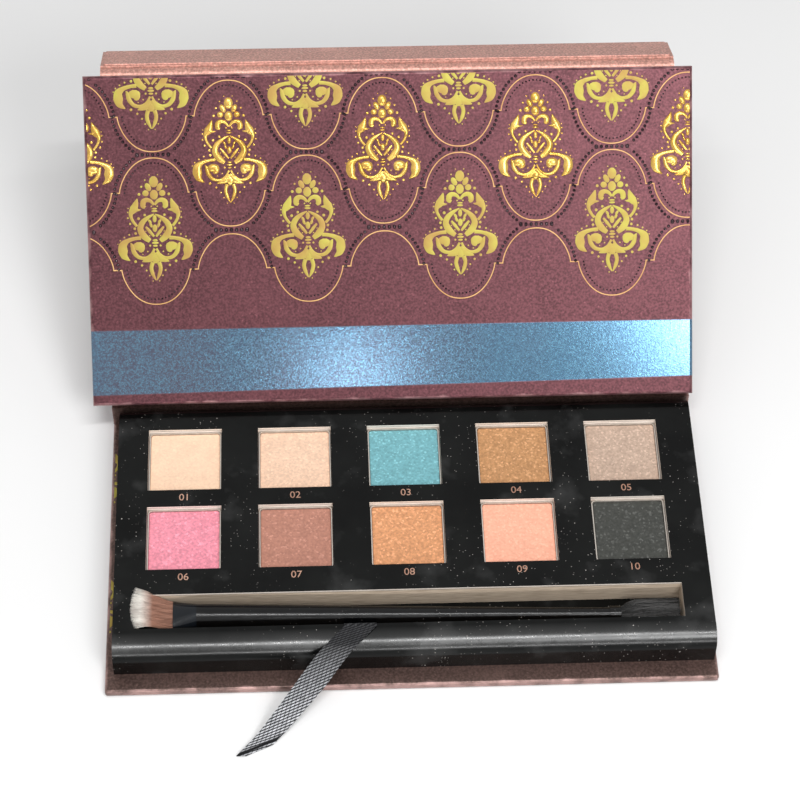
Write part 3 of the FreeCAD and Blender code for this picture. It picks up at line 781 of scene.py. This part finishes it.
def draw_large_beads(beads, place, way):
    """Beads outside an arc, and a row of them over its crest with larger ones at the ends."""
    for point in spaced(arc(place, way, BEADS_OFF), BEAD_PITCH):
        if abs(point.x - place[0]) > CREST_HALF:
            beads.dome(point, BEAD_RADIUS, BEAD_RADIUS, BEAD_HEIGHT, sides=8)
    crest = place[1] + way * (ARC_RISE + CREST_OFF)
    for step in range(-CREST_REACH, CREST_REACH + 1):
        size = END_BEAD_RADIUS if abs(step) == CREST_REACH else BEAD_RADIUS
        beads.dome((place[0] + CREST_PITCH * step, crest), size, size, BEAD_HEIGHT, sides=8)


def draw_beads(beads):
    """Large beads outside the arcs and small ones inside; none below the last wave."""
    for number, place, way in wave_arcs():
        last = number == len(WAVES) - 1
        if way == 1 or not last:
            draw_large_beads(beads, place, way)
        if way == -1 or not last:
            for point in spaced(arc(place, way, SMALL_BEADS_OFF), SMALL_BEAD_PITCH):
                beads.dome(point, SMALL_BEAD_RADIUS, SMALL_BEAD_RADIUS, SMALL_BEAD_HEIGHT, sides=6)


def draw_palmettes(middle_row, other_rows, middle_height):
    """Palmettes in rows, with those of the middle row between the others."""
    for k in range(-2, 3):
        draw_motif(middle_row, (MIDDLE + 2 * k * COLUMN, RAISED_ROW), middle_height)
        for row in PRINTED_ROWS:
            draw_motif(other_rows, (MIDDLE + (2 * k + 1) * COLUMN, row), PRINT_HEIGHT)


def printed_face(node, matrix):
    """The corners of a node's upper face in a frame, less a margin."""
    edge = Vector((PRINT_MARGIN, PRINT_MARGIN, 0))
    low, high = extent(node, matrix)
    return Vector((low.x, low.y, high.z)) + edge, high - edge


def inner_pattern():
    """The raised and printed pattern inside the lid."""
    low, high = printed_face("lid_panel", LID)
    raised, printed, lines, beads = Relief(), Relief(), Relief(), Relief()
    draw_palmettes(raised, printed, RAISED_HEIGHT)
    draw_waves(lines)
    draw_beads(beads)
    raised.lay("raised_motifs", LID, GOLD_RAISED, low, high, "lid", "ornate_paper")
    printed.lay("printed_motifs", LID, GOLD_PRINT, low, high, "lid", "ornate_paper")
    lines.lay("gold_lines", LID, GOLD_LINE, low, high, "lid", "ornate_paper")
    beads.lay("bead_lines", LID, BEAD, low, high, "lid", "ornate_paper")


def outer_pattern():
    """The printed pattern outside the lid."""
    low, high = printed_face("lid_board", LID_BACK)
    motifs, lines = Relief(), Relief()
    draw_palmettes(motifs, motifs, PRINT_HEIGHT)
    draw_waves(lines)
    motifs.lay("outer_motifs", LID_BACK, GOLD_PRINT, low, high, "lid", "ornate_paper")
    lines.lay("outer_lines", LID_BACK, GOLD_LINE, low, high, "lid", "ornate_paper")


def base_print():
    """Parts of the same print that show on the base's left margin."""
    base_low, base_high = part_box("base_board")
    low = Vector((base_low.x + PRINT_MARGIN, base_low.y + PRINT_MARGIN, base_high.z))
    high = Vector((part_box("tray_cover")[0].x - PRINT_GAP, base_high.y - PRINT_BACK, 0))
    print_work = Relief()
    for along in BASE_PRINT_ALONG:
        draw_motif(print_work, (BASE_PRINT_ACROSS, along), PRINT_HEIGHT)
    print_work.lay("base_motifs", Matrix.Identity(4), GOLD_PRINT, low, high, "base", "plain_paper")


inner_pattern()
outer_pattern()
base_print()


# Bands of paper and cloth

BAND_THICKNESS = 0.4 * MM
BEND_STEPS = 16
# The lid's hinge paper: two levels up the spine, the spine's outer face, the bend's radius and where it
# starts above the table, then how far along the lid the paper ends, and its middle below the lid's frame.
SPINE_LEVELS = (6 * MM, 9 * MM)
SPINE_OUTER = 46.8 * MM
SPINE_BEND = 6.2 * MM
SPINE_KNEE = 12.45 * MM
LID_PAPER_END = 13.9 * MM
LID_PAPER_STEPS = 7
LID_PAPER_DEPTH = -2.72 * MM
# The flap's hinge paper: the fold's radius, and where its middle lies along the lid.
FLAP_BEND = 2.162 * MM
FLAP_BEND_ALONG = 93.3 * MM
# The ribbon: its middle across the tray, where it starts to slant and by how much, and half its size in X.
RIBBON_ACROSS = -14.3
RIBBON_TURN = -34.2
RIBBON_SLANT = 0.921
RIBBON_HALF = 4.5
# The ribbon's route as places (along, up) in millimetres: over the tray, and free from its front edge.
RIBBON_EDGE = (-42.2, 12.8)
TAB_PLACES = [(-30.4, 5.25), (-32.4, 5.25), (-32.9, 5.6), (-33.0, 6.6), (-33.0, 11.8), (-33.05, 12.75),
              (-33.4, 13.22), (-34.2, 13.28), (-38.6, 13.3), (-40.6, 13.27), RIBBON_EDGE]
FREE_PLACES = [RIBBON_EDGE, (-45.0, 11.5), (-50.0, 8.0), (-56.5, 3.4), (-61.0, 0.7), (-64.0, 0.4),
               (-66.8, 0.4)]
# Where the free end starts to curl and to be cut, over what run, and how far its sides move by then.
CURL_START = -50
CURL_RUN = 12
CURL_LEFT = 0.3
CURL_RIGHT = 2.2
CUT_START = -63.5
CUT_RUN = 3.3
CUT_RIGHT = 4.4


def band(name, line, left, right, look, before=0.0):
    """A thin band whose edges lie left and right of a line, straight across in X.

    Its cloth map is in millimetres: across, and along the line, starting at minus the given length.
    """
    points, faces, run = [], [], [-before]
    for i, point in enumerate(line):
        way = line[min(i + 1, len(line) - 1)] - line[max(i - 1, 0)]
        out = Vector((0, -way.z, way.y)).normalized() * (BAND_THICKNESS / 2)
        for x, side in ((left[i], -1), (right[i], -1), (right[i], 1), (left[i], 1)):
            points.append(point + Vector((x, 0, 0)) + out * side)
        if i:
            run.append(run[-1] + (point - line[i - 1]).length)
    for i in range(len(line) - 1):
        for j in range(4):
            a, b = 4 * i + j, 4 * i + (j + 1) % 4
            faces.append((a, b, b + 4, a + 4))
    last = len(points) - 4
    faces += [(3, 2, 1, 0), (last, last + 1, last + 2, last + 3)]
    piece = new_piece(name, points, faces, look)
    piece.data.shade_flat()
    cloth = piece.data.uv_layers.new(name="cloth")
    for loop in piece.data.loops:
        i, j = divmod(loop.vertex_index, 4)
        across = left[i] if j in (0, 3) else right[i]
        cloth.data[loop.index].uv = (across / MM, run[i] / MM)
    return piece


def hinge_band(name, node, profile, look):
    """A hinge's paper strip across the whole width of a CAD node."""
    low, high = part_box(node)
    count = len(profile)
    line = [Vector((0, p.y, p.z)) for p in profile]
    piece = band(name, line, [low.x] * count, [high.x] * count, look)
    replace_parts(piece, node)
    return piece, line


def lid_hinge_paper():
    """Up the spine, round the bend behind the hinge, and along the lid's outer face."""
    low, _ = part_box("lid_hinge_strip")
    turn = math.pi / 2 - LID_TILT
    profile = [Vector((0, SPINE_OUTER, z)) for z in (low.z, *SPINE_LEVELS)]
    for k in range(BEND_STEPS + 1):
        a = turn * k / BEND_STEPS
        out = SPINE_BEND * (1 - math.cos(a))
        profile.append(Vector((0, SPINE_OUTER + out, SPINE_KNEE + SPINE_BEND * math.sin(a))))
    reach = (LID.inverted() @ profile[-1]).y
    for k in range(1, LID_PAPER_STEPS + 1):
        along = reach + (LID_PAPER_END - reach) * k / LID_PAPER_STEPS
        profile.append(LID @ Vector((0, along, LID_PAPER_DEPTH)))
    piece, line = hinge_band("lid_hinge_paper", "lid_hinge_strip", profile, HINGE)
    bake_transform(piece)


def flap_hinge_paper():
    """Round the fold from the lid's free edge to the flap."""
    centre = Vector((0, FLAP_BEND_ALONG, -FLAP_BEND))
    profile = []
    for k in range(BEND_STEPS + 1):
        a = math.pi / 2 - FLAP_FOLD * k / BEND_STEPS
        profile.append(LID @ (centre + Vector((0, math.cos(a), math.sin(a))) * FLAP_BEND))
    piece, line = hinge_band("flap_hinge_paper", "flap_hinge_strip", profile, MAUVE)
    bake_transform(piece)


def ribbon_point(y, z):
    """The ribbon's middle at a place along and up, in metres."""
    return Vector(((RIBBON_ACROSS - RIBBON_SLANT * max(0.0, RIBBON_TURN - y)) * MM, y * MM, z * MM))


def length_of(line):
    return sum((b - a).length for a, b in zip(line, line[1:]))


def ribbon_tab(free_length):
    """The glued end of the ribbon: up the slot's front wall and over the tray to its front edge."""
    line = [ribbon_point(y, z) for y, z in TAB_PLACES]
    count = len(line)
    half = RIBBON_HALF * MM
    piece = band("ribbon_tab_cloth", line, [-half] * count, [half] * count, RIBBON,
                 before=length_of(line) + free_length)
    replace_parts(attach(piece, "base"), "ribbon_tab")


def ribbon_route():
    """Points read from the spline that the ribbon's free end follows."""
    curve = bpy.data.curves.new("ribbon_route", "CURVE")
    curve.dimensions = "3D"
    spline = curve.splines.new("NURBS")
    spline.points.add(len(FREE_PLACES) - 1)
    for point, (y, z) in zip(spline.points, FREE_PLACES):
        point.co = (*ribbon_point(y, z), 1)
    spline.order_u = 3
    spline.use_endpoint_u = True
    return [vertex.co.copy() for vertex in mesh_from("ribbon_route", curve).vertices]


def share_of(way):
    """A share held between 0 and 1."""
    return min(1.0, max(0.0, way))


def pull_ribbon(route):
    """The ribbon's free end, narrower where it curls, with its last corner cut away at a slant where the
    ribbon turns under.
    """
    left, right = [], []
    for point in route:
        y = point.y / MM
        curl = share_of((CURL_START - y) / CURL_RUN)
        cut = share_of((CUT_START - y) / CUT_RUN)
        left.append((-RIBBON_HALF - CURL_LEFT * curl) * MM)
        right.append((RIBBON_HALF - CURL_RIGHT * curl - CUT_RIGHT * cut) * MM)
    piece = band("pull_ribbon_cloth", route, left, right, RIBBON,
                 before=length_of(route))
    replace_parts(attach(piece, "base"), "pull_ribbon")
    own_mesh(piece)


lid_hinge_paper()
flap_hinge_paper()
ROUTE = ribbon_route()
ribbon_tab(length_of(ROUTE))
pull_ribbon(ROUTE)


# Brush hair

# The wide end in millimetres: its hairs' length and what the outer ones lack, half its width at the
# root and what it gains at the tip, its lean and sway, half its depth, and its tips above the tray.
WIDE_COUNT = 900
WIDE_STEPS = 7
WIDE_LENGTH = 11.9
WIDE_ROUND = 1.2
WIDE_HALF = 4.6
WIDE_FAN = 2.2
WIDE_LEAN = 1.2
WIDE_SWAY = 0.3
WIDE_DEPTH = 1.85
WIDE_TOP_LOW = 0.05
WIDE_TOP_HIGH = 0.38
WIDE_THICK = 0.08 * MM
# The slim end in millimetres, across and up: its shift, half its width, and what it gains past the root.
SLIM_COUNT = 700
SLIM_STEPS = 8
SLIM_SHIFT = (0.5, 0.6)
SLIM_HALF = (2.1, 2.0)
SLIM_FLARE = (1.6, 0.7)
SLIM_THICK = 0.1 * MM
SLIM_WAVE = 0.2 * MM
SLIM_WAVES = 11


def strand(points, faces, line, thick):
    """A thin three-sided hair along a line, ending in a point."""
    first = len(points)
    for i, spot in enumerate(line):
        size = thick * (1 - 0.8 * (i / (len(line) - 1)) ** 2)
        for k in range(3):
            a = 2 * math.pi * k / 3
            points.append(spot + Vector((0, math.cos(a), math.sin(a))) * size)
    for i in range(len(line) - 1):
        for k in range(3):
            a, b = first + 3 * i + k, first + 3 * i + (k + 1) % 3
            faces.append((a, b, b + 3, a + 3))


def in_disc(rng):
    """A random place in a round disc."""
    reach, turn = math.sqrt(rng.random()), rng.uniform(0, 2 * math.pi)
    return reach * math.cos(turn), reach * math.sin(turn)


def wide_hair():
    """Pale hair that fans out and bends up over the slot's end."""
    rng = random.Random(4)
    low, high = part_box("brush_hair_wide")
    middle = (low + high) / 2
    points, faces = [], []
    for _ in range(WIDE_COUNT):
        side, depth = in_disc(rng)
        length = (WIDE_LENGTH - WIDE_ROUND * side * side - rng.random()) * MM
        top = TRAY_TOP + rng.uniform(WIDE_TOP_LOW, WIDE_TOP_HIGH) * MM
        sway = rng.uniform(-WIDE_SWAY, WIDE_SWAY) * MM
        line = []
        for k in range(WIDE_STEPS + 1):
            s = k / WIDE_STEPS
            ease = min(1.0, s / 0.75)
            ease = ease * ease * (3 - 2 * ease)
            fan = side * (WIDE_HALF + WIDE_FAN * s ** 1.5)
            y = middle.y + (fan + WIDE_LEAN * s) * MM + sway * s
            z = middle.z + depth * WIDE_DEPTH * MM
            line.append(Vector((high.x - length * s, y, z + (top - z) * ease)))
        strand(points, faces, line, WIDE_THICK)
    look = hair_look("pale hair", (0.42, 0.22, 0.155), (0.93, 0.90, 0.84), -72.0, -75.5, 0.35)
    piece = new_piece("brush_hair_wide_strands", points, faces, look, "base")
    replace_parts(piece, "brush_hair_wide")


def slim_hair():
    """Dark rough hair at the slim end."""
    rng = random.Random(9)
    low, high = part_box("brush_hair_slim")
    middle = (low + high) / 2
    points, faces = [], []
    for _ in range(SLIM_COUNT):
        side, depth = in_disc(rng)
        length = (high.x - low.x) * (1 - 0.1 * rng.random())
        curl = rng.uniform(0, 2 * math.pi)
        line = []
        for k in range(SLIM_STEPS + 1):
            s = k / SLIM_STEPS
            flare = math.sin(min(1.0, 3 * s) * math.pi / 2)
            wave = SLIM_WAVES * s + curl
            across = SLIM_SHIFT[0] * flare + side * (SLIM_HALF[0] + SLIM_FLARE[0] * flare)
            up = SLIM_SHIFT[1] * flare + depth * (SLIM_HALF[1] + SLIM_FLARE[1] * flare)
            y = middle.y + across * MM + SLIM_WAVE * math.sin(wave)
            z = middle.z + up * MM + SLIM_WAVE * math.cos(wave)
            line.append(Vector((low.x + length * s, y, z)))
        strand(points, faces, line, SLIM_THICK)
    look = hair_look("dark hair", (0.02, 0.02, 0.02), (0.13, 0.127, 0.125), 57, 70, 1.0)
    piece = new_piece("brush_hair_slim_strands", points, faces, look, "base")
    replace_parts(piece, "brush_hair_slim")


wide_hair()
slim_hair()


# Numbers on the tray

NUMBER_SIZE = 3.2 * MM
NUMBER_HALF_DEPTH = 0.015 * MM
NUMBER_BELOW_PAN = 2.9 * MM


def pan_numbers():
    """A plain number in copper ink under each pan."""
    work = bmesh.new()
    pans = [f"pan_{row}_{column}" for row in ("back", "front") for column in range(1, 6)]
    for number, pan in enumerate(pans, start=1):
        low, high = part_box(pan)
        text = bpy.data.curves.new("number", "FONT")
        text.body = f"{number:02d}"
        text.size = NUMBER_SIZE
        text.extrude = NUMBER_HALF_DEPTH
        text.align_x = "CENTER"
        text.align_y = "CENTER"
        place = ((low.x + high.x) / 2, low.y - NUMBER_BELOW_PAN, TRAY_TOP + NUMBER_HALF_DEPTH)
        work.from_mesh(mesh_from("number", text, place))
    mesh = bpy.data.meshes.new("pan_numbers")
    work.to_mesh(mesh)
    work.free()
    mesh.materials.clear()
    as_piece("pan_numbers", mesh, COPPER, "base")


pan_numbers()


# Stage

# Soft lights: name, place, size and what they are aimed at in metres, and power in watts.
TRAY_MIDDLE = (0, -0.04, 0)
OBJECT_MIDDLE = (0, 0.02, 0.03)
LIGHTS = [
    ("top", (0.03, -0.28, 0.90), (0.42, 0.44), TRAY_MIDDLE, 0.8),
    ("strip", (0.03, -0.26, 0.90), (0.50, 0.034), TRAY_MIDDLE, 2.9),
    ("key", (0.30, -0.57, 0.69), (0.28, 0.28), OBJECT_MIDDLE, 2.9),
    ("fill", (-0.5, -0.5, 1.5), (1.2, 1.2), OBJECT_MIDDLE, 2.4),
    ("front", (0.02, -0.90, 0.22), (0.9, 0.07), OBJECT_MIDDLE, 2.8),
    ("spark", (0.0, -0.70, 0.60), (0.04, 0.04), OBJECT_MIDDLE, 0.06),
]
WORLD_LIGHT = 0.40
WORLD_SEEN = 1.0
FLOOR_SIZE = 6
FLOOR_GAP = 0.2 * MM
# The camera fitted to the grid of pans in the photograph: lens in millimetres, turns in degrees.
CAMERA_LENS = 117
CAMERA_SENSOR = 36
CAMERA_PLACE = (-0.02504701, -0.41004567, 0.63128309)
CAMERA_TURN = (36.29025578, -0.74776869, -2.07818629)


def add_light(name, place, size, target, power):
    """A soft light from a rectangle."""
    data = bpy.data.lights.new(name, "AREA")
    data.shape = "RECTANGLE"
    data.size, data.size_y = size
    data.energy = power
    lamp = bpy.data.objects.new(name, data)
    lamp.location = place
    lamp.rotation_euler = (Vector(target) - Vector(place)).to_track_quat("-Z", "Y").to_euler()
    SCENE.collection.objects.link(lamp)


def set_world():
    """A soft even light all round, white where the camera or a mirror sees it."""
    world = bpy.data.worlds.new("studio")
    world.use_nodes = True
    SCENE.world = world
    tree = world.node_tree
    rays = tree.nodes.new("ShaderNodeLightPath").outputs
    seen = rays["Is Camera Ray"]
    for kind in ("Is Glossy Ray", "Is Transmission Ray"):
        either = tree.nodes.new("ShaderNodeMath")
        either.operation = "MAXIMUM"
        tree.links.new(seen, either.inputs[0])
        tree.links.new(rays[kind], either.inputs[1])
        seen = either.outputs[0]
    level = tree.nodes.new("ShaderNodeMapRange")
    level.inputs["To Min"].default_value = WORLD_LIGHT
    level.inputs["To Max"].default_value = WORLD_SEEN
    tree.links.new(seen, level.inputs["Value"])
    background = tree.nodes["Background"]
    background.inputs["Color"].default_value = (1, 1, 1, 1)
    tree.links.new(level.outputs["Result"], background.inputs["Strength"])


def set_stage():
    """The floor, the lights and the world."""
    bpy.ops.mesh.primitive_plane_add(size=FLOOR_SIZE, location=(0, 0, -FLOOR_GAP))
    floor = bpy.context.object
    floor.name = "floor"
    floor.data.materials.append(floor_look())
    for light in LIGHTS:
        add_light(*light)
    set_world()
    SCENE.view_settings.view_transform = "Standard"


def set_camera():
    """The camera at the photograph's angle."""
    data = bpy.data.cameras.new("camera")
    data.lens = CAMERA_LENS
    data.sensor_width = CAMERA_SENSOR
    data.clip_start = 0.01
    camera = bpy.data.objects.new("camera", data)
    camera.location = CAMERA_PLACE
    camera.rotation_euler = [math.radians(a) for a in CAMERA_TURN]
    SCENE.collection.objects.link(camera)
    SCENE.camera = camera


set_stage()
set_camera()
